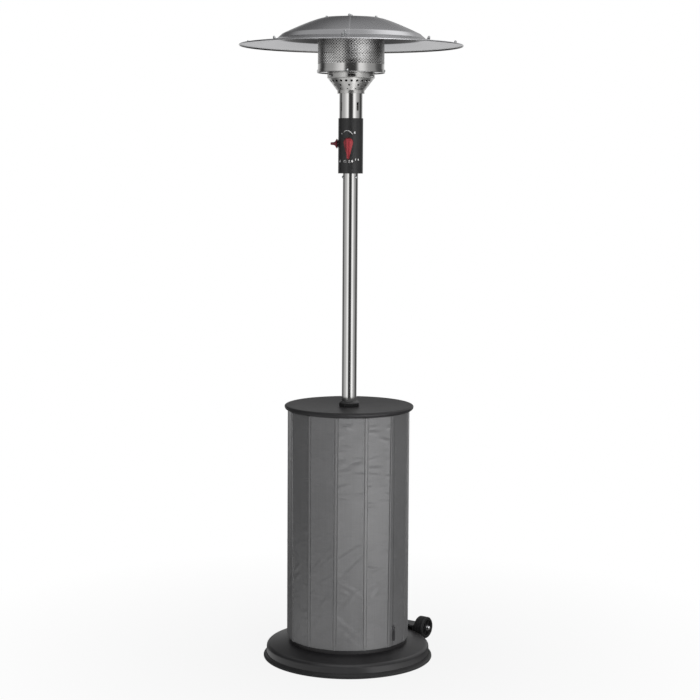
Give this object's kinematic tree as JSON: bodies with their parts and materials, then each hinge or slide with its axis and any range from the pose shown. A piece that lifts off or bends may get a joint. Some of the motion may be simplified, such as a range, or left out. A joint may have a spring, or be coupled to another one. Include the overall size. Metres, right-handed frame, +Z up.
{
  "type": "gas patio heater",
  "caption": "Free-standing gas patio heater: domed reflector over a perforated emitter, steel post with control knobs, cloth-covered bottle bay and a heavy round base with wheels.",
  "frame": {"origin": "on the floor, under the middle of the post", "axes": "+Z up along the post, -Y towards the side that the front control knob faces"},
  "size_m": [0.746, 0.746, 2.1783],
  "materials": {
    "black_steel": "semi-gloss black paint",
    "edge_rubber": "satin black",
    "ballast": "cast, rough",
    "galvanised": "galvanised, dull",
    "cloth": "grey woven polyester",
    "stay_plastic": "matt",
    "black_plastic": "satin black",
    "zip_metal": "dark nickel",
    "pull_tape": "dark webbing",
    "tyre": "matt black",
    "bright_cap": "bright",
    "stainless": "polished stainless",
    "satin_steel": "satin stainless",
    "zinc": "zinc plated",
    "cast_alloy": "as cast",
    "reflector_alloy": "satin sheet",
    "brass": "turned",
    "copper": "drawn copper tube",
    "red_plastic": "gloss red",
    "blue_plastic": "matt blue"
  },
  "bodies": {
    "heater": {"base_shell": "black_steel", "base_trim": "edge_rubber", "ballast_slab": "ballast", "foot_ring": "black_steel", "upright_a": "galvanised", "upright_b": "galvanised", "upright_c": "galvanised", "top_frame": "black_steel", "frame_bolts": "zinc", "lid": "black_steel", "cover": "cloth", "cover_stays": "stay_plastic", "zip_teeth": "black_plastic", "wheel_bracket": "black_steel", "bracket_bolts": "zinc", "wheel_axle": "zinc", "axle_caps": "bright_cap", "post": "stainless", "post_flange": "zinc", "post_collar": "black_plastic", "head_socket": "cast_alloy", "post_bolts": "zinc", "gas_inlet": "brass", "gas_pipe": "copper", "neck_tube": "stainless", "housing_front": "black_plastic", "housing_rear": "black_plastic", "housing_screws": "zinc", "gas_valve": "cast_alloy", "igniter": "black_plastic", "tilt_switch": "blue_plastic", "feed_pipe": "copper", "jet_bracket": "zinc", "gas_jet": "brass", "mixing_tube": "satin_steel", "burner_head": "satin_steel", "pilot_burner": "satin_steel", "vent_cone": "stainless", "emitter_base": "satin_steel", "emitter_screen": "satin_steel", "emitter_cap": "satin_steel", "emitter_screws": "zinc", "reflector_hub": "satin_steel", "panel_front": "reflector_alloy", "panel_right": "reflector_alloy", "panel_rear": "reflector_alloy", "panel_left": "reflector_alloy", "crown_cap": "reflector_alloy", "reflector_screws": "zinc"},
    "gas_control": {"valve_rotor": "brass"},
    "front_control": {"front_stem": "zinc", "front_knob": "red_plastic"},
    "side_control": {"side_stem": "zinc", "side_knob": "red_plastic"},
    "wheel_right": {"wheel_right_hub": "black_plastic", "wheel_right_tyre": "tyre"},
    "wheel_left": {"wheel_left_hub": "black_plastic", "wheel_left_tyre": "tyre"},
    "zip_runner": {"zip_slider": "zip_metal"},
    "zip_tab": {"zip_pull": "pull_tape"}
  },
  "joints": [
    {"name": "front_turn", "type": "hinge", "parent": "heater", "child": "gas_control", "pos_m": [0, -0.03, 1.752], "axis": [0, -1, 0], "range_deg": [0, 230]},
    {"name": "front_push", "type": "slide", "parent": "gas_control", "child": "front_control", "axis": [0, 1, 0], "range_m": [0, 0.003], "stiffness_N_per_m": 400},
    {"name": "side_turn", "type": "hinge", "parent": "heater", "child": "side_control", "pos_m": [-0.045, 0, 1.752], "axis": [-1, 0, 0], "range_deg": [0, 90], "stiffness_Nm_per_rad": 0.05, "springref_deg": -17.19},
    {"name": "wheel_right_spin", "type": "hinge", "parent": "heater", "child": "wheel_right", "pos_m": [0.23225, 0.22713, 0.0475], "axis": [-0.9063, 0.4226, 0], "continuous": true},
    {"name": "wheel_left_spin", "type": "hinge", "parent": "heater", "child": "wheel_left", "pos_m": [0.02471, 0.32391, 0.0475], "axis": [-0.9063, 0.4226, 0], "continuous": true},
    {"name": "zip_slide", "type": "slide", "parent": "heater", "child": "zip_runner", "axis": [0, 0, 1], "range_m": [0, 0.695]},
    {"name": "zip_tab_swing", "type": "hinge", "parent": "zip_runner", "child": "zip_tab", "pos_m": [0.17883, -0.11521, 0.1346], "axis": [-0.3787, -0.9255, 0], "range_deg": [0, 160]}
  ]
}
